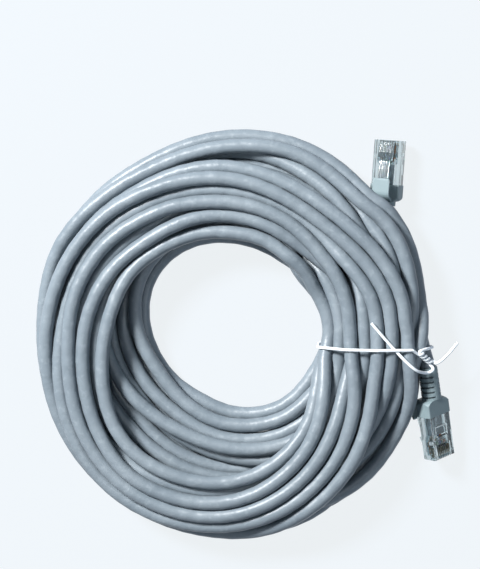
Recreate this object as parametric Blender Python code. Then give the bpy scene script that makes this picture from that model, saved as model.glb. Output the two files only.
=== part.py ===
"""Ten metre ethernet patch cable, wound by hand into a flat coil and held by a wire twist tie.

Frame: +Z up, the coil lies flat on z = 0 and the whole part is centred over the origin.
Each plug is built in its own frame, with +Y towards the nose, +Z on the side of the gold
contacts and the latch lever below, and an empty then puts it in its place beside the coil.
"""

import math

import bmesh
import bpy
from mathutils import Matrix, Vector

MM = 0.001
GAP = 0.3 * MM                      # clearance between pieces that touch

# Cable
JACKET_OD = 5.8 * MM
CONDUCTOR_OD = 0.86 * MM
CONTACTS = 8
PITCH = 1.02 * MM                   # spacing of the contacts, fixed by the plug standard

# Plug housing, measured from the shoulder that the boot meets
BODY_W = 11.68 * MM
BODY_H = 6.6 * MM
BODY_LEN = 18.0 * MM
SPIGOT_W = 10.5 * MM
SPIGOT_H = 6.0 * MM
SPIGOT_LEN = 3.6 * MM
CAVITY_W = 7.6 * MM
CAVITY_H = 4.9 * MM
CAVITY_END = 10.6 * MM
CHAMBER_END = 16.4 * MM
WIRE_Z = -0.55 * MM                 # height of the conductors under the contacts

# Contact blades in their slots
SLOT_W = 0.58 * MM
SLOT_START = 12.0 * MM
SLOT_FLOOR = 0.15 * MM
BLADE_T = 0.36 * MM
BLADE_START = 13.2 * MM
BLADE_END = 17.1 * MM
BLADE_TOP = 2.75 * MM

# Crimp bar and the window over it
WINDOW_W = 6.4 * MM
WINDOW_START = 4.2 * MM
WINDOW_END = 9.4 * MM

# Latch lever, hinged at the nose
HINGE_Y = 16.9 * MM
HINGE_Z = -BODY_H / 2 - 0.75 * MM
LATCH_W = 6.1 * MM
TAB_W = 3.9 * MM
LATCH_T = 1.15 * MM
SHOULDER_Y = 9.4 * MM
LATCH_TIP_Y = 1.2 * MM
LATCH_REST = math.radians(13.0)

# Boot
BOOT_W = 12.2 * MM
BOOT_H = 7.3 * MM
BOOT_LEN = 6.8 * MM
TAIL_LEN = 13.2 * MM
TAIL_R_FRONT = 4.05 * MM
TAIL_R_BACK = 3.95 * MM
BORE_R = 3.12 * MM
RIB_SLOTS = 5
RIB_PITCH = 2.1 * MM
RIB_SLOT_W = 0.7 * MM
RAIL_W = 2.4 * MM

# Hood over the latch tab
HOOD_W = 6.8 * MM
HOOD_T = 1.1 * MM
HOOD_TOP = 9.5 * MM                 # distance of its outer face from the plug's axis
HOOD_TIP_Y = 2.6 * MM
HOOD_ROOT_Y = -5.9 * MM
HOOD_ROOT_Z = -4.3 * MM

# Coil, as radii about its own centre
COIL_X = -3.7 * MM
COIL_Y = 2.85 * MM
COIL_TOP = 23.0 * MM
# Radii of the rim and of the hole, in millimetres, every 30 degrees from the tie's side
RIM = (77.6, 81.0, 82.2, 81.7, 79.7, 82.8, 83.3, 86.0, 88.0, 87.4, 84.4, 80.4)
HOLE = (36.2, 33.5, 32.6, 34.6, 38.0, 38.6, 36.0, 32.4, 31.2, 33.0, 34.5, 34.0)
RING_STEPS = 60
SECTION_POINTS = 20

# Where each plug lies: boot front on the plug's axis, heading of the nose, pitch and roll
PLUG_A_PLACE = (57.7 * MM, 62.15 * MM, 5.2 * MM)
PLUG_A_HEADING = math.radians(86.0)
PLUG_A_PITCH = 0.0
PLUG_A_ROLL = math.radians(165.0)
PLUG_B_PLACE = (77.4 * MM, -31.35 * MM, 9.7 * MM)
PLUG_B_HEADING = math.radians(-82.0)
PLUG_B_PITCH = math.radians(-7.0)
PLUG_B_ROLL = math.radians(-45.0)

# Twist tie
TIE_D = 1.3 * MM
TIE_ANGLE = math.radians(-7.0)
TIE_Y = -6.5 * MM                   # the tie's plane, from the coil's centre
TWIST_START = (74.8 * MM, -7.6 * MM, 18.4 * MM)
TWIST_END = (79.6 * MM, -12.2 * MM, 17.6 * MM)
TWIST_TURNS = 2.0

WIRE_COLOURS = (
    ("white_orange", (0.86, 0.62, 0.45, 1)),
    ("orange", (0.80, 0.26, 0.06, 1)),
    ("white_green", (0.62, 0.80, 0.62, 1)),
    ("blue", (0.06, 0.16, 0.50, 1)),
    ("white_blue", (0.60, 0.70, 0.85, 1)),
    ("green", (0.04, 0.30, 0.12, 1)),
    ("white_brown", (0.74, 0.64, 0.56, 1)),
    ("brown", (0.20, 0.09, 0.04, 1)),
)


def clear_scene():
    for old in list(bpy.data.objects):
        bpy.data.objects.remove(old, do_unlink=True)


def make_material(name, colour, roughness, metallic=0.0):
    material = bpy.data.materials.new(name)
    material.use_nodes = True
    shader = material.node_tree.nodes["Principled BSDF"]
    shader.inputs["Base Color"].default_value = colour
    shader.inputs["Roughness"].default_value = roughness
    shader.inputs["Metallic"].default_value = metallic
    shader.inputs["Alpha"].default_value = colour[3]
    material.diffuse_color = colour
    return material


def add_object(name, data, material=None, parent=None):
    piece = bpy.data.objects.new(name, data)
    bpy.context.collection.objects.link(piece)
    if material:
        piece.data.materials.append(material)
    piece.parent = parent
    return piece


def mesh_from(name, bm):
    bmesh.ops.recalc_face_normals(bm, faces=bm.faces[:])
    mesh = bpy.data.meshes.new(name)
    bm.to_mesh(mesh)
    bm.free()
    return mesh


def smooth(piece, degrees=35):
    piece.data.shade_smooth()
    piece.data.set_sharp_from_angle(angle=math.radians(degrees))


def combine(target, other, operation):
    """Cut, join or intersect target with other, and use other up."""
    step = target.modifiers.new(operation.lower(), "BOOLEAN")
    step.operation = operation
    step.solver = "EXACT"
    step.object = other
    bpy.context.view_layer.update()
    evaluated = target.evaluated_get(bpy.context.evaluated_depsgraph_get())
    shaped = bpy.data.meshes.new_from_object(evaluated)
    target.modifiers.remove(step)
    target.data = shaped
    bpy.data.objects.remove(other, do_unlink=True)
    return target


def box(low, high, name="block"):
    bm = bmesh.new()
    bmesh.ops.create_cube(bm, size=1.0)
    size = Vector(high) - Vector(low)
    middle = (Vector(high) + Vector(low)) / 2
    bmesh.ops.scale(bm, vec=size, verts=bm.verts)
    bmesh.ops.translate(bm, vec=middle, verts=bm.verts)
    return add_object(name, mesh_from(name, bm))


def rounded_box(low, high, radius, segments=3, name="block", along="y"):
    """A box with its four edges along one axis rounded."""
    piece = box(low, high, name)
    axis = "xyz".index(along)
    bm = bmesh.new()
    bm.from_mesh(piece.data)
    edges = [e for e in bm.edges
             if abs((e.verts[0].co - e.verts[1].co)[axis]) > 0.5 * e.calc_length()]
    bmesh.ops.bevel(bm, geom=edges, offset=radius, segments=segments,
                    profile=0.5, affect="EDGES")
    bm.to_mesh(piece.data)
    bm.free()
    return piece


def prism(outline, low, high, name="plate"):
    """Extrude an outline in the Y-Z plane from x = low to x = high."""
    bm = bmesh.new()
    face = bm.faces.new([bm.verts.new((low, y, z)) for y, z in outline])
    grown = bmesh.ops.extrude_face_region(bm, geom=[face])
    moved = [v for v in grown["geom"] if isinstance(v, bmesh.types.BMVert)]
    bmesh.ops.translate(bm, vec=(high - low, 0, 0), verts=moved)
    return add_object(name, mesh_from(name, bm))


def turned(profile, steps=24, name="turning"):
    """Spin (radius, y) pairs about the Y axis; the first and last lie on the axis."""
    bm = bmesh.new()
    rings = []
    for radius, y in profile:
        if radius == 0:
            rings.append([bm.verts.new((0, y, 0))])
            continue
        angles = [math.tau * i / steps for i in range(steps)]
        rings.append([bm.verts.new((radius * math.cos(a), y, radius * math.sin(a)))
                      for a in angles])
    for near, far in zip(rings, rings[1:]):
        for i in range(steps):
            j = (i + 1) % steps
            corners = [near[i % len(near)], near[j % len(near)],
                       far[j % len(far)], far[i % len(far)]]
            bm.faces.new(list(dict.fromkeys(corners)))
    return add_object(name, mesh_from(name, bm))


def cylinder(radius, start, end, steps=24, name="rod"):
    return turned([(0, start), (radius, start), (radius, end), (0, end)], steps, name)


def loft(sections, name):
    """Join rings of points, all of one length, and close both ends."""
    bm = bmesh.new()
    rings = [[bm.verts.new(point) for point in ring] for ring in sections]
    for near, far in zip(rings, rings[1:]):
        for i in range(len(near)):
            j = (i + 1) % len(near)
            bm.faces.new([near[i], near[j], far[j], far[i]])
    bm.faces.new(rings[0])
    bm.faces.new(rings[-1])
    return add_object(name, mesh_from(name, bm))


def smooth_route(points, spacing):
    """Read points at an even spacing from a Catmull-Rom curve through the route."""
    ends = [2 * points[0] - points[1]] + points + [2 * points[-1] - points[-2]]
    fine = []
    for p0, p1, p2, p3 in zip(ends, ends[1:], ends[2:], ends[3:]):
        for step in range(40):
            t = step / 40
            fine.append(0.5 * (2 * p1 + (p2 - p0) * t + (2 * p0 - 5 * p1 + 4 * p2 - p3) * t ** 2
                               + (3 * p1 - p0 - 3 * p2 + p3) * t ** 3))
    fine.append(points[-1])
    lengths = [0.0]
    for a, b in zip(fine, fine[1:]):
        lengths.append(lengths[-1] + (b - a).length)
    count = max(2, round(lengths[-1] / spacing))
    route, k = [], 0
    for i in range(count + 1):
        want = lengths[-1] * i / count
        while k < len(fine) - 2 and lengths[k + 1] < want:
            k += 1
        share = (want - lengths[k]) / (lengths[k + 1] - lengths[k])
        route.append(fine[k].lerp(fine[k + 1], min(1.0, share)))
    return route


def tube(name, points, diameter, material=None, parent=None, resolution=2, spacing=None):
    """A round cord along a smooth route, as a beveled curve with filled caps."""
    curve = bpy.data.curves.new(name, "CURVE")
    curve.dimensions = "3D"
    curve.bevel_depth = diameter / 2
    curve.bevel_resolution = resolution
    curve.use_fill_caps = True
    route = smooth_route(points, spacing or 2.5 * diameter)
    spline = curve.splines.new("POLY")
    spline.points.add(len(route) - 1)
    for point, place in zip(spline.points, route):
        point.co = (*place, 1)
    return add_object(name, curve, material, parent)


def tube_mesh(points, diameter, resolution=2, spacing=None, name="rod"):
    """The same cord as a mesh, for cutting."""
    curve = tube(name, points, diameter, resolution=resolution, spacing=spacing)
    bpy.context.view_layer.update()
    evaluated = curve.evaluated_get(bpy.context.evaluated_depsgraph_get())
    mesh = bpy.data.meshes.new_from_object(evaluated)
    bpy.data.objects.remove(curve, do_unlink=True)
    bm = bmesh.new()
    bm.from_mesh(mesh)
    bmesh.ops.remove_doubles(bm, verts=bm.verts[:], dist=0.00002)
    return add_object(name, mesh_from(name, bm))


# ---------------------------------------------------------------- plug

def slot_x(index):
    return (index - (CONTACTS - 1) / 2) * PITCH


def make_housing(name, material, parent):
    """Clear moulded shell: nose with eight slots, crimp window, cavity and rear spigot."""
    half_w, half_h = BODY_W / 2, BODY_H / 2
    shell = rounded_box((-half_w, 0, -half_h), (half_w, BODY_LEN, half_h),
                        0.45 * MM, 2, name, "y")
    spigot = rounded_box((-SPIGOT_W / 2, -SPIGOT_LEN, -SPIGOT_H / 2),
                         (SPIGOT_W / 2, 1.0 * MM, SPIGOT_H / 2), 0.6 * MM, 2, "spigot", "y")
    combine(shell, spigot, "UNION")
    # The nose is narrower over its front corner, below the contacts, to lead into a jack
    for side in (-1, 1):
        corner = prism([(BODY_LEN - 1.6 * MM, -half_h - MM), (BODY_LEN + MM, -half_h - MM),
                        (BODY_LEN + MM, -half_h + 1.0 * MM)],
                       side * half_w - 2 * MM, side * half_w + 2 * MM, "corner")
        combine(shell, corner, "DIFFERENCE")
    cavity = rounded_box((-CAVITY_W / 2, -SPIGOT_LEN - MM, -CAVITY_H / 2),
                         (CAVITY_W / 2, CAVITY_END, CAVITY_H / 2), 1.9 * MM, 4, "cavity", "y")
    combine(shell, cavity, "DIFFERENCE")
    chamber_w = CONTACTS * PITCH + 0.3 * MM
    chamber = box((-chamber_w / 2, CAVITY_END - 2 * MM, WIRE_Z - 1.0 * MM),
                  (chamber_w / 2, CHAMBER_END, WIRE_Z + 0.6 * MM))
    combine(shell, chamber, "DIFFERENCE")
    window = prism([(WINDOW_START, half_h + MM), (WINDOW_START, CAVITY_H / 2 - 1.2 * MM),
                    (WINDOW_END - 1.4 * MM, CAVITY_H / 2 - 1.2 * MM),
                    (WINDOW_END, half_h + MM)], -WINDOW_W / 2, WINDOW_W / 2, "window")
    combine(shell, window, "DIFFERENCE")
    for index in range(CONTACTS):
        x = slot_x(index)
        slot = box((x - SLOT_W / 2, SLOT_START, SLOT_FLOOR - 0.4 * MM),
                   (x + SLOT_W / 2, BODY_LEN + MM, half_h + MM))
        combine(shell, slot, "DIFFERENCE")
    shell.data.materials.clear()
    shell.data.materials.append(material)
    shell.parent = parent
    smooth(shell, 30)
    return shell


def make_contact(name, index, mesh, parent):
    blade = bpy.data.objects.new(name, mesh)
    bpy.context.collection.objects.link(blade)
    blade.parent = parent
    blade.location = (slot_x(index), 0, 0)
    return blade


def contact_mesh(material):
    """Blade with a rounded front shoulder and two tines over its conductor."""
    tine_low = WIRE_Z + CONDUCTOR_OD / 2 + 0.12 * MM
    root = tine_low + 0.55 * MM
    round_r = 0.75 * MM
    outline = [(BLADE_START, BLADE_TOP - 0.35 * MM), (BLADE_START + 0.35 * MM, BLADE_TOP)]
    for step in range(5):
        a = math.radians(90 - 22.5 * step)
        outline.append((BLADE_END - round_r + round_r * math.cos(a),
                        BLADE_TOP - round_r + round_r * math.sin(a)))
    outline += [(BLADE_END, root), (BLADE_END - 0.5 * MM, tine_low),
                (BLADE_END - 1.3 * MM, root), (BLADE_START + 1.3 * MM, root),
                (BLADE_START + 0.5 * MM, tine_low), (BLADE_START, root)]
    blade = prism(outline, -BLADE_T / 2, BLADE_T / 2, "contact_blade")
    mesh = blade.data
    bpy.data.objects.remove(blade, do_unlink=True)
    mesh.materials.append(material)
    return mesh


def make_conductor(name, index, material, parent):
    """Insulated conductor, fanned out of the jacket's end to its place under a contact."""
    row = 0.62 * MM if index % 2 else -0.62 * MM
    start_x = (index - (CONTACTS - 1) / 2) * 0.56 * MM
    end_x = slot_x(index)
    mid_x = (start_x + end_x) / 2
    route = [Vector((start_x, 8.45 * MM, row)),
             Vector((start_x * 0.97 + end_x * 0.03, 8.9 * MM, row)),
             Vector((mid_x, 9.8 * MM, (row + WIRE_Z) / 2)),
             Vector((end_x * 0.98 + start_x * 0.02, 10.8 * MM, WIRE_Z)),
             Vector((end_x, 11.4 * MM, WIRE_Z)),
             Vector((end_x, CHAMBER_END - 0.5 * MM, WIRE_Z))]
    return tube(name, route, CONDUCTOR_OD, material, parent, resolution=1, spacing=1.6 * MM)


def make_wire_guide(name, material, parent):
    """Comb under the conductors that keeps them in line while the plug is crimped."""
    bottom = WIRE_Z - 0.92 * MM
    half = CONTACTS * PITCH / 2
    guide = box((-half, 11.2 * MM, bottom), (half, 12.8 * MM, WIRE_Z - 0.12 * MM), name)
    for index in range(CONTACTS):
        groove = cylinder(CONDUCTOR_OD / 2 + 0.05 * MM, 9 * MM, 14 * MM, 12)
        groove.data.transform(Matrix.Translation((slot_x(index), 0, WIRE_Z)))
        combine(guide, groove, "DIFFERENCE")
    guide.data.materials.clear()
    guide.data.materials.append(material)
    guide.parent = parent
    return guide


def make_crimp_bar(name, material, parent):
    """Bar in the window, pressed down on the jacket when the plug is crimped."""
    low = CAVITY_H / 2 - 1.0 * MM
    outline = [(WINDOW_START + GAP, low + 0.6 * MM), (WINDOW_START + 1.1 * MM, low),
               (WINDOW_END - 2.2 * MM, low + 0.35 * MM), (WINDOW_END - 1.2 * MM, low + 1.0 * MM),
               (WINDOW_END - 1.5 * MM, low + 1.6 * MM), (WINDOW_START + GAP, low + 1.5 * MM)]
    bar = prism(outline, -WINDOW_W / 2 + GAP, WINDOW_W / 2 - GAP, name)
    bar.data.materials.append(material)
    bar.parent = parent
    return bar


def make_jacket_end(name, material, parent):
    """End of the jacket, squeezed oval in the housing and dented under the crimp bar."""
    sides = 20
    stations = ((-7.0, 5.8, 5.8, 0.0), (-4.6, 5.8, 5.6, 0.0), (-3.2, 6.1, 4.4, 0.0),
                (3.6, 6.5, 4.4, 0.0), (4.6, 6.6, 4.3, -0.95), (6.6, 6.7, 4.2, -0.95),
                (8.2, 6.7, 4.2, -0.5))
    rings = []
    for y, width, height, dent in stations:
        ring = []
        for k in range(sides):
            a = math.tau * k / sides
            x = width / 2 * math.cos(a)
            z = height / 2 * math.sin(a)
            ring.append((x * MM, y * MM, min(z, height / 2 + dent) * MM))
        rings.append(ring)
    end = loft(rings, name)
    end.data.materials.append(material)
    end.parent = parent
    smooth(end, 50)
    return end


def make_latch(name, material, parent):
    """Lever hinged at the nose, wide up to its two shoulders and narrow behind them."""
    pivot = bpy.data.objects.new(name + "_axis", None)
    bpy.context.collection.objects.link(pivot)
    pivot.parent = parent
    pivot.location = (0, HINGE_Y, HINGE_Z)
    reach = HINGE_Y - LATCH_TIP_Y
    shoulder = HINGE_Y - SHOULDER_Y
    t = LATCH_T / 2
    wide = [(0.9 * MM, -0.1 * MM), (0.65 * MM, 0.4 * MM), (0.1 * MM, t), (-shoulder, t),
            (-shoulder, -t - 0.55 * MM), (-shoulder * 0.55, -t - 0.1 * MM),
            (0.2 * MM, -t), (0.75 * MM, -0.45 * MM)]
    narrow = [(-shoulder * 0.6, t - 0.02 * MM), (-reach + 0.4 * MM, t - 0.02 * MM),
              (-reach, t - 0.4 * MM), (-reach, -t + 0.4 * MM), (-reach + 0.4 * MM, -t + 0.02 * MM),
              (-shoulder * 0.6, -t + 0.02 * MM)]
    lever = prism(wide, -LATCH_W / 2, LATCH_W / 2, name)
    tab = prism(narrow, -TAB_W / 2, TAB_W / 2, "tab")
    combine(lever, tab, "UNION")
    lever.data.transform(Matrix.Rotation(LATCH_REST, 4, "X"))
    lever.data.materials.clear()
    lever.data.materials.append(material)
    lever.parent = pivot
    return lever


def make_boot(name, material, parent):
    """Flush sleeve over the spigot, domed shoulders and a slotted bend relief behind."""
    boot = rounded_box((-BOOT_W / 2, -BOOT_LEN, -BOOT_H / 2), (BOOT_W / 2, 0, BOOT_H / 2),
                       0.5 * MM, 2, name, "y")
    dome = [(0, -BOOT_LEN - MM), (TAIL_R_FRONT - 0.3 * MM, -BOOT_LEN - MM)]
    for step in range(7):
        a = math.radians(15 * step)
        dome.append((TAIL_R_FRONT + 4.2 * MM * math.sin(a),
                     -BOOT_LEN + 6.5 * MM * (1 - math.cos(a))))
    dome += [(8.4 * MM, MM), (0, MM)]
    combine(boot, turned(dome, 40, "dome"), "INTERSECT")
    back = -BOOT_LEN - TAIL_LEN
    tail = turned([(0, -BOOT_LEN + 0.2 * MM), (TAIL_R_FRONT, -BOOT_LEN + 0.2 * MM),
                   (TAIL_R_FRONT, -BOOT_LEN - 0.4 * MM), (TAIL_R_BACK, back + 0.5 * MM),
                   (TAIL_R_BACK - 0.3 * MM, back), (0, back)], 28, "tail")
    combine(boot, tail, "UNION")
    # Each side has its own row of slots, half a step apart; two rails join the ribs
    for side, first in ((1, 1.1 * MM), (-1, 1.1 * MM + RIB_PITCH / 2)):
        low_x, high_x = sorted((side * RAIL_W / 2, side * 6 * MM))
        for index in range(RIB_SLOTS):
            y = -BOOT_LEN - first - index * RIB_PITCH
            slot = box((low_x, y - RIB_SLOT_W / 2, -6 * MM), (high_x, y + RIB_SLOT_W / 2, 6 * MM))
            combine(boot, slot, "DIFFERENCE")
    combine(boot, cylinder(BORE_R, back - MM, -SPIGOT_LEN, 28, "bore"), "DIFFERENCE")
    room = GAP / 2
    sleeve = rounded_box((-SPIGOT_W / 2 - room, -SPIGOT_LEN - GAP, -SPIGOT_H / 2 - room),
                         (SPIGOT_W / 2 + room, MM, SPIGOT_H / 2 + room),
                         0.6 * MM, 2, "sleeve", "y")
    combine(boot, sleeve, "DIFFERENCE")
    boot.data.materials.clear()
    boot.data.materials.append(material)
    boot.parent = parent
    smooth(boot, 30)
    return boot


def make_hood(name, material, parent):
    """Arched flap over the latch tab; it bends at its root when the latch is pressed."""
    pivot = bpy.data.objects.new(name + "_axis", None)
    bpy.context.collection.objects.link(pivot)
    pivot.parent = parent
    pivot.location = (0, HOOD_ROOT_Y, HOOD_ROOT_Z)
    rise = HOOD_TOP + HOOD_ROOT_Z
    reach = HOOD_TIP_Y - HOOD_ROOT_Y
    outer, inner = [], []
    for step in range(7):
        a = math.radians(15 * step)
        outer.append((-0.6 * MM + 3.4 * MM * (1 - math.cos(a)),
                      0.35 * MM - (rise + 0.35 * MM) * math.sin(a)))
        inner.append((0.6 * MM + 2.6 * MM * (1 - math.cos(a)),
                      0.35 * MM - (rise + 0.35 * MM - HOOD_T) * math.sin(a)))
    tip = [(reach - 0.8 * MM, -rise), (reach - 0.15 * MM, -rise + 0.3 * MM),
           (reach, -rise + 0.8 * MM), (reach - 0.5 * MM, -rise + HOOD_T)]
    outline = outer + tip + inner[::-1]
    hood = prism(outline, -HOOD_W / 2, HOOD_W / 2, name)
    # The corners of the tip are rounded in plan
    for side in (-1, 1):
        bm = bmesh.new()
        bm.from_mesh(hood.data)
        edges = [e for e in bm.edges
                 if all(v.co.y > reach - 0.9 * MM and v.co.x * side > HOOD_W / 2 - 1e-5
                        for v in e.verts)]
        bmesh.ops.bevel(bm, geom=edges, offset=0.3 * MM, segments=2, affect="EDGES")
        bm.to_mesh(hood.data)
        bm.free()
    hood.data.materials.append(material)
    hood.parent = pivot
    smooth(hood, 30)
    return hood


def plug_matrix(place, heading, pitch, roll):
    """Local +Y along the heading, tipped by the pitch and rolled about the plug's axis."""
    turn = (Matrix.Rotation(heading - math.pi / 2, 4, "Z") @ Matrix.Rotation(pitch, 4, "X")
            @ Matrix.Rotation(roll, 4, "Y"))
    return Matrix.Translation(place) @ turn


def make_plug(end, place_matrix, materials):
    """All the pieces of one plug, hung on an empty at the shoulder of its housing."""
    origin = bpy.data.objects.new("plug_" + end, None)
    bpy.context.collection.objects.link(origin)
    origin.matrix_world = place_matrix
    make_housing("housing_" + end, materials["clear_housing"], origin)
    blade = contact_mesh(materials["gold_contact"])
    for index in range(CONTACTS):
        make_contact(f"contact_{end}{index + 1}", index, blade, origin)
        colour = WIRE_COLOURS[index][0]
        make_conductor(f"conductor_{end}{index + 1}_{colour}", index,
                       materials["wire_" + colour], origin)
    make_wire_guide("wire_guide_" + end, materials["clear_guide"], origin)
    make_crimp_bar("crimp_bar_" + end, materials["clear_housing"], origin)
    make_jacket_end("jacket_end_" + end, materials["jacket"], origin)
    make_latch("latch_" + end, materials["clear_housing"], origin)
    make_boot("boot_" + end, materials["boot"], origin)
    make_hood("hood_" + end, materials["boot"], origin)
    return origin


# ---------------------------------------------------------------- coil

def around(marks, angle):
    """Radius at an angle, on a smooth closed line through evenly spaced marks."""
    place = angle / math.tau % 1 * len(marks)
    k = int(place)
    t = place - k
    p0, p1, p2, p3 = (marks[(k + i) % len(marks)] for i in (-1, 0, 1, 2))
    return MM / 2 * (2 * p1 + (p2 - p0) * t + (2 * p0 - 5 * p1 + 4 * p2 - p3) * t ** 2
                     + (3 * p1 - p0 - 3 * p2 + p3) * t ** 3)


def coil_section(angle):
    """Heaped section of the bundle at one angle, flat below."""
    low, high = around(HOLE, angle), around(RIM, angle)
    middle, half = (low + high) / 2, (high - low) / 2
    from_tie = (angle - TIE_ANGLE + math.pi) % math.tau - math.pi
    top = COIL_TOP - 1.5 * MM * math.exp(-(from_tie / math.radians(15)) ** 2)
    ring = []
    for k in range(SECTION_POINTS):
        a = math.tau * k / SECTION_POINTS
        c, s = math.cos(a), math.sin(a)
        radius = middle + half * math.copysign(abs(c) ** 0.72, c)
        if s >= 0:
            height = 6.5 * MM + (top - 6.5 * MM) * s ** 0.8
        else:
            height = 6.5 * MM * (1 - min(1.0, 1.35 * abs(s)))
        ring.append((COIL_X + radius * math.cos(angle), COIL_Y + radius * math.sin(angle), height))
    return ring


def make_coil(name, material, cutters):
    """The wound bundle as one ring, with clearance round what lies against it."""
    bm = bmesh.new()
    rings = []
    for step in range(RING_STEPS):
        angle = math.tau * step / RING_STEPS
        rings.append([bm.verts.new(point) for point in coil_section(angle)])
    for index, near in enumerate(rings):
        far = rings[(index + 1) % RING_STEPS]
        for k in range(SECTION_POINTS):
            n = (k + 1) % SECTION_POINTS
            bm.faces.new([near[k], near[n], far[n], far[k]])
    coil = add_object(name, mesh_from(name, bm))
    for cutter in cutters:
        combine(coil, cutter, "DIFFERENCE")
    coil.data.materials.clear()
    coil.data.materials.append(material)
    smooth(coil, 40)
    return coil


def from_coil(points):
    """Move points given from the coil's centre into the part's frame."""
    return [point + Vector((COIL_X, COIL_Y, 0)) for point in points]


def tie_loop_point(share):
    """Point on the loop round the bundle; share runs from the inner side over the top."""
    lift = TIE_D / 2 + GAP
    low, high = around(HOLE, math.radians(-10)), around(RIM, math.radians(-5))
    middle, half = (low + high) / 2, (high - low) / 2 + lift
    a = math.pi - math.tau * share
    c, s = math.cos(a), math.sin(a)
    x = middle + half * math.copysign(abs(c) ** 0.72, c)
    if s >= 0:
        height = 6.5 * MM + (COIL_TOP - 8.0 * MM + lift) * s ** 0.8
    else:
        height = 6.5 * MM - (6.5 * MM - TIE_D / 2 - 0.12 * MM) * min(1.0, 1.5 * abs(s))
    return Vector((x, TIE_Y, height))


def twist_point(share, phase):
    """Point on one of the two strands that are twisted together beside the loop."""
    start, end = Vector(TWIST_START), Vector(TWIST_END)
    along = (end - start).normalized()
    side = along.cross(Vector((0, 0, 1))).normalized()
    rise = side.cross(along)
    a = math.tau * TWIST_TURNS * share + phase
    reach = 0.78 * MM
    return start.lerp(end, share) + side * reach * math.cos(a) + rise * reach * math.sin(a)


def tie_loop():
    """The loop from its outer top edge over the bundle, down the hole and back below."""
    loop = [tie_loop_point(0.37 - 0.83 * i / 20) for i in range(21)]
    loop += [Vector(p) * MM for p in ((81.2, -6.8, 10.5), (80.4, -6.6, 15.2))]
    return loop


def tie_route():
    """The tie from one cut end to the other: tail, twist, loop, twist and tail."""
    tail = [Vector(p) * MM for p in
            ((55.8, 4.5, 23.9), (60.4, -1.0, 24.6), (65.7, -7.0, 25.0), (70.2, -11.6, 22.6),
             (74.2, -14.9, 19.4), (78.2, -16.3, 17.9), (80.6, -14.8, 17.3))]
    short_end = [Vector(p) * MM for p in
                 ((82.4, -12.2, 16.5), (86.4, -8.8, 15.8), (90.2, -4.2, 15.2))]
    steps = 12
    route = list(tail)
    route += [twist_point(1 - i / steps, 0.3) for i in range(steps + 1)]
    route += tie_loop()
    route += [twist_point(i / steps, 0.3 + math.pi) for i in range(steps + 1)]
    route += short_end
    return from_coil(route)


def main():
    clear_scene()
    materials = {
        "jacket": make_material("jacket", (0.36, 0.40, 0.43, 1), 0.42),
        "boot": make_material("boot", (0.27, 0.32, 0.34, 1), 0.5),
        "clear_housing": make_material("clear_housing", (0.78, 0.86, 0.88, 0.45), 0.12),
        "clear_guide": make_material("clear_guide", (0.80, 0.84, 0.84, 0.6), 0.2),
        "gold_contact": make_material("gold_contact", (0.83, 0.62, 0.27, 1), 0.25, 1.0),
        "tie_wire": make_material("tie_wire", (0.90, 0.92, 0.93, 1), 0.35),
    }
    for colour, value in WIRE_COLOURS:
        materials["wire_" + colour] = make_material("wire_" + colour, value, 0.4)

    place_a = plug_matrix(PLUG_A_PLACE, PLUG_A_HEADING, PLUG_A_PITCH, PLUG_A_ROLL)
    place_b = plug_matrix(PLUG_B_PLACE, PLUG_B_HEADING, PLUG_B_PITCH, PLUG_B_ROLL)
    make_plug("a", place_a, materials)
    make_plug("b", place_b, materials)

    # Each tail starts inside its boot and runs into the side of the bundle
    inside = -7.0 * MM - GAP
    back = -BOOT_LEN - TAIL_LEN
    in_boot = [Vector((0, y, 0)) for y in (inside, inside - 5 * MM, back + 2 * MM, back - MM)]
    route_a = [place_a @ point for point in in_boot]
    route_a += [place_a @ Vector((0, back - 4 * MM, 0)),
               Vector((57.4 * MM, 32.25 * MM, 4.4 * MM)), Vector((60.9 * MM, 25.85 * MM, 3.9 * MM))]
    route_b = [place_b @ point for point in in_boot]
    route_b += [place_b @ Vector((0, back - 3 * MM, 0)),
               Vector((72.3 * MM, -1.95 * MM, 11.6 * MM)), Vector((70.6 * MM, 5.85 * MM, 10.0 * MM))]
    tube("tail_a", route_a, JACKET_OD, materials["jacket"], resolution=3, spacing=JACKET_OD)
    tube("tail_b", route_b, JACKET_OD, materials["jacket"], resolution=3, spacing=JACKET_OD)

    # Twist tie: once round the bundle, its ends twisted together at the outer side
    tube("twist_tie", tie_route(), TIE_D, materials["tie_wire"], resolution=1,
         spacing=1.5 * MM)

    cutters = []
    for place, route in ((place_a, route_a), (place_b, route_b)):
        beyond = route[-1] + (route[-1] - route[-2]).normalized() * GAP
        cutters.append(tube_mesh(route + [beyond], JACKET_OD + 2.4 * GAP, 3, JACKET_OD))
        pocket = rounded_box((-BOOT_W / 2 - GAP, -BOOT_LEN - 0.2 * MM, -BOOT_H / 2 - GAP),
                             (BOOT_W / 2 + GAP, 2 * MM, BOOT_H / 2 + GAP), 0.5 * MM)
        tail_room = cylinder(TAIL_R_FRONT + GAP, back - GAP, -BOOT_LEN + MM, 20)
        hood_room = box((-HOOD_W / 2 - GAP, HOOD_ROOT_Y - 1.2 * MM, -HOOD_TOP - GAP),
                        (HOOD_W / 2 + GAP, HOOD_TIP_Y + MM, 0))
        for room in (pocket, tail_room, hood_room):
            room.data.transform(place)
            cutters.append(room)
    cutters.append(tube_mesh(from_coil(tie_loop()), TIE_D + 2.6 * GAP, 2, 1.5 * MM))
    make_coil("coil", materials["jacket"], cutters)


main()
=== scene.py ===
"""A ten metre patch cable wound into a flat coil, with its two plugs and its wire twist tie."""

import math

import bpy
import numpy as np
from mathutils import Matrix, Vector


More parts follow.
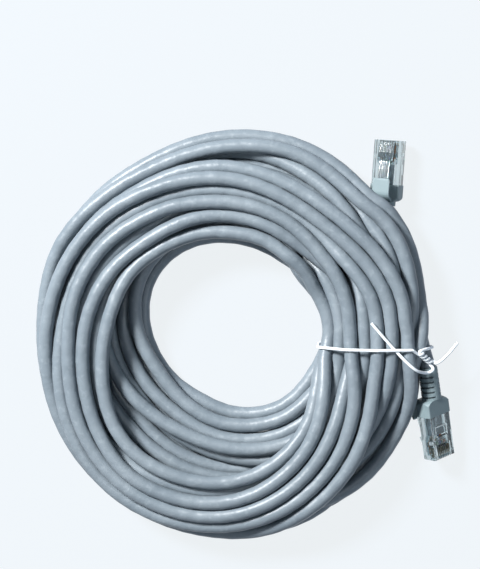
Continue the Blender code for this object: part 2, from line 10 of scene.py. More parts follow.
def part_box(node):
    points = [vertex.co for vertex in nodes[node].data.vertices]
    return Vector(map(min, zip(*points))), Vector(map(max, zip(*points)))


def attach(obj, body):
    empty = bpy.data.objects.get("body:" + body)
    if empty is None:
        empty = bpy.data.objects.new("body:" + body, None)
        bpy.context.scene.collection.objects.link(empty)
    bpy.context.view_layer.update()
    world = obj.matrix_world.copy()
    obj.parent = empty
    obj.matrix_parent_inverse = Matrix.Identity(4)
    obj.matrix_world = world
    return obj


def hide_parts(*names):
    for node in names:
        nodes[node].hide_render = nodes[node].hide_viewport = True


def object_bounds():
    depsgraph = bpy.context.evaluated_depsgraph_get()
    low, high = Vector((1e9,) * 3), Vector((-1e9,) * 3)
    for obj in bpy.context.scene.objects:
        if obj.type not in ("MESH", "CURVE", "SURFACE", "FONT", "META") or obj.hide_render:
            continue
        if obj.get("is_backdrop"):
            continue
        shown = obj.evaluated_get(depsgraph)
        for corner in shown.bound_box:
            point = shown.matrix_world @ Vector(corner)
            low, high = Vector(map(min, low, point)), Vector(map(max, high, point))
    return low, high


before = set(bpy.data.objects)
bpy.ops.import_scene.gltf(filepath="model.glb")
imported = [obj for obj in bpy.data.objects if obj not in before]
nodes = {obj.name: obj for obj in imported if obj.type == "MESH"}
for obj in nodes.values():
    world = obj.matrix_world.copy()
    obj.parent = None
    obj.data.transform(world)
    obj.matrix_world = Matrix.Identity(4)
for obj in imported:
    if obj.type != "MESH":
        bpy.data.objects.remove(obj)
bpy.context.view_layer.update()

bpy.ops.object.select_all(action="DESELECT")
bpy.context.scene.view_settings.view_transform = "Standard"


# ---------------------------------------------------------------- camera
# The camera hangs nearly straight over the coil, tipped a little towards the upper right, so
# that the wall of the hole shows on the left and the side of the bundle on the right.

looks_at = Vector((-0.0021, 0.02115, 0.010))
camera_distance = 0.70
camera_tilt = math.radians(7.0)
camera_side = math.radians(40.0)
seen_height = 0.2335
long_side_mm = 36.0

camera_data = bpy.data.cameras.new("camera")
camera_data.sensor_width = long_side_mm
camera_data.lens = long_side_mm * camera_distance / seen_height
camera = bpy.data.objects.new("camera", camera_data)
bpy.context.scene.collection.objects.link(camera)
bpy.context.scene.camera = camera
back = Vector((math.sin(camera_tilt) * math.cos(camera_side),
               math.sin(camera_tilt) * math.sin(camera_side), math.cos(camera_tilt)))
up = Vector((0, 1, 0))
right = up.cross(back).normalized()
turn = Matrix((right, back.cross(right), back)).transposed()
camera.matrix_world = Matrix.Translation(looks_at + back * camera_distance) @ turn.to_4x4()


# ---------------------------------------------------------------- cable
# Ten metres of round grey PVC jacket over four twisted pairs. It was wound by hand into 26
# turns, each laid on the ones before it, and drawn together where the tie goes round.

mm = 0.001
jacket_width = 5.8                       # all lengths of the winding are in millimetres
coil_centre = np.array((-3.7, 2.85))
turns = 26
stations = 72                            # points on each turn
station_step = 360 / stations
first_angle = 19.6                       # where the end of plug A joins the bundle
last_stations = 4                        # past the whole turns, where plug B's end leaves
held_stations = 4                        # at each end, which the boots don't push aside
bundle_top = 25.5
tightest_bend = 32.0

tie_angle = -7.0
tie_width = 1.3
tie_lift = tie_width + 0.15              # by which it lifts the turns that it passes under
lifted_degrees = 13.0
tie_squeeze = 1.5                        # by which it holds the heap down
squeezed_degrees = 16.0

# The middle of each boot's front, the way the plug points and the way its hood faces, as the
# CAD has them. From there the cable runs straight through the boot and on to the bundle.
plug_a_front = np.array((57.7, 62.15, 5.2))
plug_a_nose = np.array((0.0698, 0.9976, 0.0))
plug_a_hood = np.array((-0.2582, 0.0181, 0.9659))
plug_b_front = np.array((77.4, -31.35, 9.7))
plug_b_nose = np.array((0.1381, -0.9829, -0.1219))
plug_b_hood = np.array((-0.7122, -0.0131, -0.7018))
boot_length = 20.0
in_boot = (7.3, 12.3, 18.0, 21.0)        # distances behind the boot's front
tail_a = [plug_a_front - y * plug_a_nose for y in (*in_boot, 24.0)]
tail_a += [np.array(p) for p in ((57.4, 32.25, 4.4), (60.9, 25.85, 3.9))]
tail_b = [plug_b_front - y * plug_b_nose for y in (*in_boot, 23.0)]
tail_b += [np.array(p) for p in ((72.3, -1.95, 11.6), (70.6, 5.85, 10.0))]

# How far across the bundle the turns run, 0 at the hole and 1 at the rim. The lower turns
# keep one place each, and the later of them lean in at the lower left and out at the upper
# right. The upper ones swing across: under the tie, at the lower right, below, at the lower
# left, at the upper left and at the upper right, most of them outside the one before.
lower_lays = (0.78, 0.93, 0.66, 0.51, 0.36, 0.22, 0.08, 0.16, 0.31, 0.46, 0.61, 0.76, 0.90,
              0.64, 0.40)
lower_lean = 0.13
first_leaning = 7
lean_angle = 225
lay_angles = (352, 315, 270, 225, 135, 45)
upper_lays = (
    (0.50, 0.60, 0.72, 0.68, 0.35, 0.14),
    (0.22, 0.45, 0.70, 0.72, 0.45, 0.17),
    (0.07, 0.28, 0.62, 0.70, 0.21, 0.13),
    (0.19, 0.43, 0.75, 0.77, 0.37, 0.24),
    (0.31, 0.55, 0.83, 0.88, 0.47, 0.28),
    (0.45, 0.65, 0.88, 0.96, 0.55, 0.36),
    (0.55, 0.75, 0.91, 0.92, 0.65, 0.42),
    (0.66, 0.84, 0.94, 0.94, 0.77, 0.53),
    (0.78, 0.93, 0.98, 0.98, 0.97, 0.59),
    (0.92, 0.96, 0.97, 0.95, 0.93, 0.92),
    (0.98, 0.99, 0.99, 0.98, 0.98, 0.98),
)
upper_heap = (0, 1, 7, 5, 3, 6, 2, 9, 4, 8, 10)    # from the lowest to the topmost
rim_turn = 25                            # the last turn, which slid down the outer side
rim_turn_height = 9.0
slide_stations = 12
lay_wander = 0.012

# The outline of the ring, as its outer and inner radius at every 30 degrees.
rim = np.array((77.6, 81.0, 82.2, 81.7, 79.7, 82.8, 83.3, 86.0, 88.0, 87.4, 84.4, 80.4))
hole = np.array((36.2, 33.5, 32.6, 34.6, 38.0, 38.6, 36.0, 32.4, 31.2, 33.0, 34.5, 34.0))


def around(marks, angle):
    """Radius at an angle in degrees, on a smooth closed line through evenly spaced marks."""
    place = angle / 360 % 1 * len(marks)
    k = place.astype(int) % len(marks)
    t = place - np.floor(place)
    p0, p1, p2, p3 = (np.roll(marks, -i)[k] for i in (-1, 0, 1, 2))
    return 0.5 * (2 * p1 + (p2 - p0) * t + (2 * p0 - 5 * p1 + 4 * p2 - p3) * t ** 2
                  + (3 * p1 - p0 - 3 * p2 + p3) * t ** 3)


def eased(values, passes, amount=0.5):
    """Smooth a row of values; the first and last stay."""
    values = values.copy()
    for _ in range(passes):
        values[1:-1] += amount * (0.5 * (values[:-2] + values[2:]) - values[1:-1])
    return values


def wanted_radii(angles, travel):
    """Where each point of the winding would lie if nothing were in its way."""
    rows = []
    for n, lay in enumerate(lower_lays):
        lean = lower_lean * (1 - (2 * lay - 1) ** 2) * (n >= first_leaning)
        rows.append([lay - lean * math.cos(math.radians(a - lean_angle)) for a in lay_angles])
    rows += upper_lays
    marks, shares = [0], [lower_lays[0]]
    for n, row in enumerate(rows):
        marks += [first_angle + 360 * n + 360 - a for a in lay_angles]
        shares += row
    share = eased(np.interp(travel, marks, shares), passes=12)
    chance = np.random.default_rng(7)
    for cycles in (1.83, 2.61, 4.37):
        share += lay_wander * np.cos(np.radians(travel) * cycles + chance.uniform(0, math.tau))
    low, high = around(hole, angles), around(rim, angles)
    return low + jacket_width / 2 + np.clip(share, 0.01, 0.99) * (high - low - jacket_width)


class Winding:
    """The points of the wound cable as radius and height, one station every five degrees."""

    def __init__(self, balls):
        self.count = turns * stations + last_stations
        self.before = round((360 - first_angle) / station_step)
        index = np.arange(self.count)
        self.travel = index * station_step
        self.angles = first_angle - self.travel
        self.free = (index > held_stations) & (index < self.count - held_stations)
        self.along = np.radians(station_step)
        self.wanted = wanted_radii(self.angles, self.travel)
        self.rows = turns + 2
        self.alive = ~np.isnan(self.by_turn(self.wanted))
        self.turn = (index + self.before) // stations - 1
        self.low = around(hole, self.angles) + jacket_width / 2
        self.high = around(rim, self.angles) - jacket_width / 2
        from_tie = (self.angles - tie_angle + 180) % 360 - 180
        lift = tie_lift * np.exp(-(from_tie / lifted_degrees) ** 2)
        squeeze = tie_squeeze * np.exp(-(from_tie / squeezed_degrees) ** 2)
        self.floor = jacket_width / 2 + lift
        self.crown = bundle_top - jacket_width / 2 - squeeze
        self.cos = np.cos(np.radians(self.angles))
        self.sin = np.sin(np.radians(self.angles))
        self.radius, self.height = self.wanted.copy(), 0 * self.wanted
        self.height = self.dropped(balls)

    def by_turn(self, values, blank=np.nan):
        """The stations as a table with a row for each turn and a column for each angle."""
        table = np.full(self.rows * stations, float(blank))
        table[self.before:self.before + self.count] = values
        return table.reshape(self.rows, stations)

    def in_line(self, table):
        return table.reshape(-1)[self.before:self.before + self.count]

    def dropped(self, balls):
        """Heights of the turns if each is dropped straight down on those laid before it."""
        radius = self.by_turn(self.wanted)
        flat = np.hypot(*(self.points()[:, None, :2] - balls[None, :, :2]).transpose(2, 0, 1))
        reach = balls[None, :, 3] + jacket_width / 2
        ground = balls[None, :, 2] + np.sqrt(np.clip(reach ** 2 - flat ** 2, 0, None))
        ground = self.by_turn(np.where(flat < reach, ground, jacket_width / 2).max(1))
        height = np.full(radius.shape, np.nan)
        lower = len(lower_lays) + 1
        heap = [*range(lower), *(lower + n for n in upper_heap), self.rows - 1]
        laid = []
        for n in heap:
            z = np.fmax(ground[n], jacket_width / 2)
            for m in laid:
                gap = np.abs(radius[n] - radius[m])
                over = height[m] + np.sqrt(np.clip(jacket_width ** 2 - gap ** 2, 0, None))
                z = np.fmax(z, np.where(gap < jacket_width, over, 0))
            if n > rim_turn:
                slid = np.clip(np.arange(stations) / slide_stations + (n - rim_turn - 1), 0, 1)
                z = z * (1 - slid) + np.fmin(z, rim_turn_height) * slid
            height[n] = np.where(self.alive[n], z, np.nan)
            laid.append(n)
        return self.in_line(height)

    def part_strands(self):
        """Push strands that lie in each other apart, station by station."""
        own = np.arange(self.rows)
        far_off = 1e4 + 1e3 * own[:, None]           # for the turns that have no point there
        radius = np.where(self.alive, self.by_turn(self.radius, 0), far_off)
        height = np.where(self.alive, self.by_turn(self.height, 0), 0)
        slope = np.gradient(self.radius) / (self.along * self.radius)
        lean = np.where(self.alive, self.by_turn(1 / np.sqrt(1 + slope ** 2), 1), 1)
        across = (radius[:, None] - radius[None]) * (lean[:, None] + lean[None]) / 2
        above = height[:, None] - height[None]
        apart = np.sqrt(across ** 2 + above ** 2) + 1e-9
        shared = np.clip(jacket_width - apart, 0, None)
        shared[own, own] = 0
        push = 0.5 / np.clip((shared > 0).sum(1) * 0.5, 1, None)
        self.radius += self.in_line((shared * across / apart).sum(1) * push)
        self.height += self.in_line((shared * above / apart).sum(1) * push)
        self.height = np.maximum(self.height, self.floor)

    def limit_bends(self, tightest):
        """Open the bends that are tighter than the cable would take."""
        r, z = self.radius, self.height
        bend_r = r[:-2] - 2 * r[1:-1] + r[2:]
        bend_z = z[:-2] - 2 * z[1:-1] + z[2:]
        size = np.hypot(bend_r, bend_z) + 1e-9
        excess = np.clip(1 - (self.along * r[1:-1]) ** 2 / tightest / size, 0, 1)
        step = 0.25
        for values, bend in ((r, bend_r * excess), (z, bend_z * excess)):
            values[1:-1] += step * bend
            values[:-2] -= step / 2 * bend
            values[2:] -= step / 2 * bend

    def keep_clear(self, balls):
        """Push the turns off the boots and the ends that lie beside and under them."""
        places = self.points()
        away = places[:, None] - balls[None, :, :3]
        apart = np.linalg.norm(away, axis=2) + 1e-9
        shared = np.clip(balls[None, :, 3] + jacket_width / 2 - apart, 0, None)
        worst = shared.argmax(1)
        pick = np.arange(self.count)
        step = 0.6
        push = (away[pick, worst] / apart[pick, worst][:, None]
                * (step * shared[pick, worst] * self.free)[:, None])
        self.radius += push[:, 0] * self.cos + push[:, 1] * self.sin
        self.height += push[:, 2]

    def press_down(self, amount):
        """Hold the heap below a rounded top, which is lower under the tie."""
        shoulder, squareness, fullness = 10.0, 3.3, 0.4
        middle, half = (self.low + self.high) / 2, (self.high - self.low) / 2
        off = np.clip(np.abs(self.radius - middle) / half, 0, 1)
        limit = shoulder + (self.crown - shoulder) * (1 - off ** squareness) ** fullness
        self.height -= amount * np.clip(self.height - limit, 0, None)

    def hold_ends(self):
        """Keep the turns between the hole and the rim, and the two ends in their places."""
        self.radius += 0.5 * (np.clip(self.radius, self.low, self.high) - self.radius)
        for at, end in ((0, tail_a[-1]), (-1, tail_b[-1])):
            self.radius[at] = np.hypot(*(end[:2] - coil_centre))
            self.height[at] = end[2]

    def settle(self, balls, steps=800, last_steps=160):
        """Let the turns sink and find room, drawn less and less towards their lays."""
        upper_pull, lower_pull, slack_stations, sag = 0.2, 0.03, 18, 0.25
        pull = np.where(self.turn >= len(lower_lays), upper_pull, lower_pull)
        pull *= np.clip(np.arange(self.count) / slack_stations, 0, 1)
        for step in range(steps + last_steps):
            fade = max(0, 1 - step / steps)
            if fade:
                self.height -= sag * fade
                self.radius += pull * (self.wanted - self.radius) * (0.3 + 0.7 * fade)
            passes, amount = (2, 0.8) if fade else (1, 0.5)
            self.radius = self.wanted + eased(self.radius - self.wanted, passes, amount)
            self.height = eased(self.height, passes, amount)
            self.press_down(0.3)
            for _ in range(4):
                self.limit_bends(tightest_bend)
                self.limit_bends(tightest_bend)
                self.part_strands()
                self.keep_clear(balls)
            self.hold_ends()

    def points(self):
        return np.column_stack([coil_centre[0] + self.radius * self.cos,
                                coil_centre[1] + self.radius * self.sin, self.height])


def balls_between(start, end, radius):
    """A close row of balls, with which the winding feels a boot or a straight stretch."""
    count = int(np.linalg.norm(end - start) / 1.5) + 2
    return [(*(start + (end - start) * share), radius) for share in np.linspace(0, 1, count)]


def smooth_line(points, spacing):
    """Points at an even spacing on the smooth curve through the given ones."""
    p = np.vstack([2 * points[0] - points[1], points, 2 * points[-1] - points[-2]])
    steps = 12
    fine = []
    for t in np.arange(steps) / steps:
        fine.append(0.5 * (2 * p[1:-2] + (p[2:-1] - p[:-3]) * t
                           + (2 * p[:-3] - 5 * p[1:-2] + 4 * p[2:-1] - p[3:]) * t ** 2
                           + (3 * p[1:-2] - p[:-3] - 3 * p[2:-1] + p[3:]) * t ** 3))
    fine = np.vstack([np.stack(fine, 1).reshape(-1, 3), points[-1:]])
    run = np.concatenate([[0], np.cumsum(np.linalg.norm(np.diff(fine, axis=0), axis=1))])
    at = np.linspace(0, run[-1], int(run[-1] / spacing) + 1)
    return np.column_stack([np.interp(at, run, fine[:, k]) for k in range(3)]), at


# The housing with the boot's block, the hood and the bend relief: where each begins and ends
# along the plug, how far it stands off towards the hood, and its radius.
plug_balls = ((8.0, -6.0, 0.0, 5.2), (2.0, -3.0, 6.5, 3.2), (-6.0, -boot_length, 0.0, 4.1))
obstacles = []
for front, nose, hood, tail in ((plug_a_front, plug_a_nose, plug_a_hood, tail_a),
                                (plug_b_front, plug_b_nose, plug_b_hood, tail_b)):
    for ahead, behind, off, radius in plug_balls:
        obstacles += balls_between(front + ahead * nose + off * hood,
                                   front + behind * nose + off * hood, radius)
    boot_back = front - boot_length * nose
    near_bundle = tail[-2] * 0.35 + tail[-1] * 0.65
    obstacles += balls_between(boot_back, tail[-2], jacket_width / 2)
    obstacles += balls_between(tail[-2], near_bundle, jacket_width / 2)
obstacles = np.array(obstacles)

winding = Winding(obstacles)
winding.settle(obstacles)
route = np.vstack([tail_a[:-1], winding.points(), tail_b[-2::-1]])
ring_spacing = 1.7
cable_line, cable_run = smooth_line(route, ring_spacing)

sides = 14
pair_spacing = 6.6                       # between the bulges of a twisted pair in the jacket
pair_slower = 0.09                       # by which each pair is twisted less than the first
pair_bulge = 0.12
bulge_sharpness = 3.0
mean_bulge = 0.6
core_lay = 88.0                          # in which the four pairs go once round each other


def cable_surface(line, run):
    """Rings round the line, raised where the twisted pairs press on the jacket."""
    ahead = np.gradient(line, axis=0)
    ahead /= np.linalg.norm(ahead, axis=1)[:, None]
    side = np.cross(ahead[0], (0, 0, 1.0))
    side /= np.linalg.norm(side)
    round_ring = np.arange(sides) * math.tau / sides
    rings = np.empty((len(line), sides, 3))
    for n, (point, forward) in enumerate(zip(line, ahead)):
        side = side - forward * (side @ forward)
        side /= np.linalg.norm(side)
        rise = np.cross(side, forward)
        bulge = 0.0
        for pair in range(4):
            facing = round_ring - math.tau * (run[n] / core_lay + pair / 4)
            twist = math.tau * run[n] / (pair_spacing * (1 + pair_slower * pair))
            ridge = np.exp(bulge_sharpness * (np.cos(facing) - 1))
            bulge = bulge + ridge * (0.5 + 0.5 * math.cos(twist))
        radius = jacket_width / 2 + pair_bulge * (bulge - mean_bulge)
        rings[n] = (point + np.outer(radius * np.cos(round_ring), side)
                    + np.outer(radius * np.sin(round_ring), rise))
    return rings


def cable_mesh(rings, run):
    """One closed skin, with its length and the way round it as the UV map, in metres."""
    count = len(rings)
    ring = np.arange(count - 1)[:, None] * sides
    k = np.arange(sides)[None, :]
    n = (k + 1) % sides
    quads = np.stack([ring + k, ring + n, ring + sides + n, ring + sides + k], -1)
    faces = quads.reshape(-1, 4).tolist()
    faces.append(list(range(sides))[::-1])
    faces.append([(count - 1) * sides + i for i in range(sides)])
    mesh = bpy.data.meshes.new("cable")
    mesh.from_pydata((rings.reshape(-1, 3) * mm).tolist(), [], faces)
    strip = np.pi * jacket_width * mm / sides
    length = run * mm
    low = np.repeat(length[:-1], sides)
    high = np.repeat(length[1:], sides)
    start = np.tile(np.arange(sides) * strip, count - 1)
    corners = np.stack([np.stack([low, start], -1), np.stack([low, start + strip], -1),
                        np.stack([high, start + strip], -1), np.stack([high, start], -1)], 1)
    layer = mesh.uv_layers.new(name="along")
    flat = np.zeros((len(mesh.loops), 2), np.float32)
    flat[:corners.shape[0] * 4] = corners.reshape(-1, 2)
    layer.uv.foreach_set("vector", flat.ravel())
    mesh.shade_smooth()
    return mesh


cable = bpy.data.objects.new("cable_jacket", cable_mesh(cable_surface(cable_line, cable_run),
                                                        cable_run))
bpy.context.scene.collection.objects.link(cable)


class Value:
    """A socket in a material that can stand in sums, each of which adds its Math node."""

    def __init__(self, tree, socket):
        self.tree = tree
        self.socket = socket

    def node(self, kind, settings=None, output=0, **inputs):
        """Add a node: its settings first, then the values or links of its sockets."""
        made = self.tree.nodes.new(kind)
        for name, setting in (settings or {}).items():
            if name == "stops":
                for stop, (place, colour) in zip(made.color_ramp.elements, setting):
                    stop.position, stop.color = place, colour
            else:
                setattr(made, name, setting)
        for name, given in inputs.items():
            key = int(name[1:]) if name[1:].isdigit() else name.replace("_", " ")
            target = made.inputs[key]
            if isinstance(given, Value):
                self.tree.links.new(given.socket, target)
            else:
                target.default_value = given
        return Value(self.tree, made.outputs[output])

    def maths(self, operation, first, second):
        return self.node("ShaderNodeMath", {"operation": operation}, s0=first, s1=second)

    def __add__(self, other):
        return self.maths("ADD", self, other)

    __radd__ = __add__

    def __mul__(self, other):
        return self.maths("MULTIPLY", self, other)

    __rmul__ = __mul__

    def __sub__(self, other):
        return self.maths("SUBTRACT", self, other)

    def __rsub__(self, other):
        return self.maths("SUBTRACT", other, self)


def new_finish(name, colour, roughness, **fixed):
    """A material and a Value for its shader, with the settings that don't vary."""
    material = bpy.data.materials.new(name)
    material.use_nodes = True
    shader = material.node_tree.nodes["Principled BSDF"]
    shader.inputs["Base Color"].default_value = (*colour, 1)
    shader.inputs["Roughness"].default_value = roughness
    for socket, setting in fixed.items():
        shader.inputs[socket.replace("_", " ")].default_value = setting
    return material, shader, Value(material.node_tree, None)


def feed(shader, socket, value):
    """Let a Value set what changes over the surface."""
    value.tree.links.new(value.socket, shader.inputs[socket])


def put_on(piece, material):
    piece.data.materials.clear()
    piece.data.materials.append(material)


def jacket_finish(name, wound):
    """Soft grey vinyl, scuffed and dented; only the wound cable has a map for its ripples."""
    material, shader, start = new_finish(name, (0.17, 0.21, 0.24), 0.35,
                                         Specular_IOR_Level=0.38)
    place = start.node("ShaderNodeTexCoord", output=3)
    shade = start.node("ShaderNodeTexNoise", Vector=place, Scale=60.0, Detail=4.0)
    colour = start.node("ShaderNodeMix", {"data_type": "RGBA"}, output=2, Factor=shade,
                        s6=(0.108, 0.138, 0.164, 1), s7=(0.222, 0.260, 0.290, 1))
    scuff = start.node("ShaderNodeTexNoise", Vector=place, Scale=420.0, Detail=5.0)
    scuff = start.node("ShaderNodeValToRGB", {"stops": ((0.55, (0, 0, 0, 1)),
                                                        (0.75, (1, 1, 1, 1)))}, Fac=scuff)
    colour = start.node("ShaderNodeMix", {"data_type": "RGBA"}, output=2, Factor=scuff * 0.22,
                        s6=colour, s7=(0.36, 0.41, 0.44, 1))
    feed(shader, "Base Color", colour)
    grain = start.node("ShaderNodeTexNoise", Vector=place, Scale=1100.0, Detail=2.0)
    feed(shader, "Roughness", 0.30 + grain * 0.10 + shade * 0.10)
    dents = start.node("ShaderNodeTexNoise", Vector=place, Scale=240.0, Detail=3.0)
    height = grain * 0.2 + dents * 3.6
    if wound:
        along = start.node("ShaderNodeUVMap", {"uv_map": "along"})
        length = start.node("ShaderNodeSeparateXYZ", Vector=along)
        ripple = start.node("ShaderNodeMath", {"operation": "SINE"},
                            s0=length * (math.tau / (pair_spacing * mm)) + shade * 5.0)
        height = height + ripple * 0.2
    bump = start.node("ShaderNodeBump", Height=height, Strength=0.45, Distance=0.0002)
    feed(shader, "Normal", bump)
    return material


put_on(cable, jacket_finish("jacket", wound=True))
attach(cable, "cable")
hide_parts("coil", "tail_a", "tail_b")


# ---------------------------------------------------------------- jacket ends
# The end of the jacket inside each plug, dented where the crimp bar presses on it.

jacket_end = jacket_finish("jacket_end", wound=False)
for end in "ab":
    put_on(nodes["jacket_end_" + end], jacket_end)


# ---------------------------------------------------------------- boots and hoods
# Soft vinyl boots, slid on to the cable and moulded in one piece each: a block that grips the
# plug, a ribbed tail that bends with the cable, and a hood that bends over the latch.


def boot_finish():
    """Grey vinyl a little greener and duller than the jacket."""
    material, shader, start = new_finish("boot", (0.19, 0.25, 0.27), 0.5,
                                         Specular_IOR_Level=0.3)
    place = start.node("ShaderNodeTexCoord", output=3)
    cloud = start.node("ShaderNodeTexNoise", Vector=place, Scale=220.0, Detail=4.0)
    colour = start.node("ShaderNodeMix", {"data_type": "RGBA"}, output=2, Factor=cloud,
                        s6=(0.160, 0.214, 0.230, 1), s7=(0.214, 0.276, 0.294, 1))
    feed(shader, "Base Color", colour)
    grain = start.node("ShaderNodeTexNoise", Vector=place, Scale=2600.0, Detail=3.0)
    feed(shader, "Roughness", 0.38 + grain * 0.2)
    bump = start.node("ShaderNodeBump", Height=cloud * 0.6 + grain * 0.4, Strength=0.35,
                      Distance=0.00012)
    feed(shader, "Normal", bump)
    return material


boot_vinyl = boot_finish()
for end in "ab":
    put_on(nodes["boot_" + end], boot_vinyl)
    put_on(nodes["hood_" + end], boot_vinyl)


# ---------------------------------------------------------------- clear housings
# Housing, latch and crimp bar are one moulding of clear polycarbonate, with faint flow lines
# along it. The wire guide is a separate piece of slightly milky plastic.


def clear_finish(name, colour, roughness, end_nose, milk):
    """Clear plastic with haze in it; milk is the part of it that is not clear."""
    material, shader, start = new_finish(name, colour, roughness, IOR=1.49,
                                         Transmission_Weight=1.0 - milk)
    place = start.node("ShaderNodeTexCoord", output=3)
    turned = Vector((0, 1, 0)).rotation_difference(Vector(end_nose)).to_euler()
    flow = start.node("ShaderNodeMapping", {"vector_type": "TEXTURE"}, Vector=place,
                      Rotation=tuple(turned), Scale=(1, 8, 1))
    lines = start.node("ShaderNodeTexNoise", Vector=flow, Scale=1500.0, Detail=2.0)
    haze = start.node("ShaderNodeTexNoise", Vector=place, Scale=350.0, Detail=3.0)
    tint = start.node("ShaderNodeMix", {"data_type": "RGBA"}, output=2, Factor=haze,
                      s6=(*(0.9 * c for c in colour), 1),
                      s7=(*(min(1.0, 1.1 * c) for c in colour), 1))
    feed(shader, "Base Color", tint)
    feed(shader, "Roughness", roughness * 0.6 + haze * (roughness * 0.8))
    bump = start.node("ShaderNodeBump", Height=lines, Strength=0.15, Distance=0.00005)
    feed(shader, "Normal", bump)
    return material


for end, nose in (("a", plug_a_nose), ("b", plug_b_nose)):
    clear = clear_finish("clear_housing_" + end, (0.56, 0.64, 0.67), 0.06, nose, milk=0.02)
    for kind in ("housing_", "latch_", "crimp_bar_"):
        put_on(nodes[kind + end], clear)
    put_on(nodes["wire_guide_" + end],
           clear_finish("clear_guide_" + end, (0.62, 0.69, 0.71), 0.12, nose, milk=0.06))


# ---------------------------------------------------------------- contacts
# Eight stamped phosphor bronze blades in each plug, pressed into their slots. Their gold-plated
# faces are coloured darker than clean gold, as painted shade for the blades inside the clear
# housing, and vary at random between a pale gold and a dark bronze tone.

material, shader, start = new_finish("contact_plating", (0.44, 0.35, 0.20), 0.28, Metallic=1.0)
place = start.node("ShaderNodeTexCoord", output=3)
rub = start.node("ShaderNodeTexNoise", Vector=place, Scale=1800.0, Detail=3.0)
# Both tones are darker than the bare metals: painted shade for the blades inside the clear
# housing.
plating_painted_dark = start.node("ShaderNodeMix", {"data_type": "RGBA"}, output=2, Factor=rub,
                     s6=(0.32, 0.25, 0.14, 1), s7=(0.58, 0.48, 0.31, 1))
feed(shader, "Base Color", plating_painted_dark)
feed(shader, "Roughness", 0.2 + rub * 0.2)
for end in "ab":
    for n in range(1, 9):
        put_on(nodes[f"contact_{end}{n}"], material)


# ---------------------------------------------------------------- conductors
# Eight insulated copper conductors, the white ones with a coloured stripe along them, pushed
# side by side under the contacts in the usual order of a straight-through cable.

wire_tints = {
    "orange": (0.62, 0.20, 0.06), "green": (0.05, 0.24, 0.12),
    "blue": (0.05, 0.12, 0.36), "brown": (0.17, 0.085, 0.045),
}
wire_order = ("white_orange", "orange", "white_green", "blue", "white_blue", "green",
              "white_brown", "brown")
half_stripe = 0.16 * mm
plug_turns = {"a": (plug_a_nose, plug_a_hood), "b": (plug_b_nose, plug_b_hood)}


def wire_finish(name, tint, end, middle):
    """Glossy insulation; a striped wire is white with its colour down the upper side."""
    material, shader, start = new_finish(name, tint, 0.35)
    place = start.node("ShaderNodeTexCoord", output=3)
    shade = start.node("ShaderNodeTexNoise", Vector=place, Scale=900.0, Detail=2.0)
    light, dark = (*(min(1, c * 1.2) for c in tint), 1), (*(c * 0.85 for c in tint), 1)
    colour = start.node("ShaderNodeMix", {"data_type": "RGBA"}, output=2, Factor=shade,
                        s6=dark, s7=light)
    if name.startswith("wire_white"):
        nose, hood = plug_turns[end]
        across = Vector(np.cross(hood, nose))
        off = start.node("ShaderNodeVectorMath", {"operation": "DOT_PRODUCT"}, output=1,
                         s0=place, s1=tuple(across))
        off = start.node("ShaderNodeMath", {"operation": "ABSOLUTE"},
                         s0=off - across.dot(middle))
        stripe = start.node("ShaderNodeMath", {"operation": "LESS_THAN"}, s0=off,
                            s1=half_stripe)
        colour = start.node("ShaderNodeMix", {"data_type": "RGBA"}, output=2, Factor=stripe,
                            s6=(0.66, 0.68, 0.66, 1), s7=colour)
    feed(shader, "Base Color", colour)
    feed(shader, "Roughness", 0.28 + shade * 0.15)
    return material


for end in "ab":
    for n, colour in enumerate(wire_order, 1):
        piece = nodes[f"conductor_{end}{n}_{colour}"]
        low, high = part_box(piece.name)
        put_on(piece, wire_finish(f"wire_{colour}_{end}", wire_tints[colour.split("_")[-1]],
                                  end, (low + high) / 2))


# ---------------------------------------------------------------- twist tie
# A steel wire in white plastic. It goes once round the bundle, drawn tight over the turns,
# and its ends are twisted together at the outer side and left long.

tie_y = coil_centre[1] - 6.5
tie_clear = 0.12
twist_from = np.array((71.1, -4.8))
twist_to = np.array((75.9, -9.3))
twist_reach = 0.78                       # from the middle of the twist to each wire's middle
twist_steps = 12
twist_turns = 2.0
twist_phase = 0.3
loop_degrees = range(62, 400, 6)         # round the bundle, from the twist and back to it
long_end = ((52.1, 7.35), (56.7, 1.85), (62.0, -4.15), (66.5, -8.75), (70.5, -12.05),
            (74.5, -13.45), (76.9, -11.95))
long_end_lifts = (1.2, 0.3, 0.1, 0.3, 0.6, 0.9, 1.2)
short_end = ((78.7, -9.35, 17.5), (82.7, -5.95, 16.8), (86.5, -1.35, 16.2))
feelers = np.vstack([np.column_stack([cable_line, np.full(len(cable_line), jacket_width / 2)]),
                     obstacles])


def lying(x, y, radius):
    """Height at which a ball of this radius rests on the turns or a boot at this place."""
    reach = feelers[:, 3] + radius + tie_clear
    flat2 = (feelers[:, 0] - x) ** 2 + (feelers[:, 1] - y) ** 2
    return (feelers[:, 2] + np.sqrt(np.clip(reach ** 2 - flat2, 0, None)))[
        flat2 < reach ** 2].max(initial=radius)


def bundle_loop():
    """Round the outside of every turn that crosses the tie's plane, in taut straight spans."""
    side = cable_line[:, 1] - tie_y
    at = np.flatnonzero((side[:-1] * side[1:] <= 0) & (cable_line[:-1, 0] > 0))
    part = (side[at] / (side[at] - side[at + 1]))[:, None]
    cross = (cable_line[at] + part * (cable_line[at + 1] - cable_line[at]))[:, [0, 2]]
    reach = jacket_width / 2 + tie_width / 2 + tie_clear
    loop = []
    for degrees in loop_degrees:
        facing = np.array((math.cos(math.radians(degrees)), math.sin(math.radians(degrees))))
        x, z = cross[(cross @ facing).argmax()] + reach * facing
        loop.append((x, tie_y, max(z, tie_width / 2 + 0.05)))
    return [np.array(p) for p in loop]


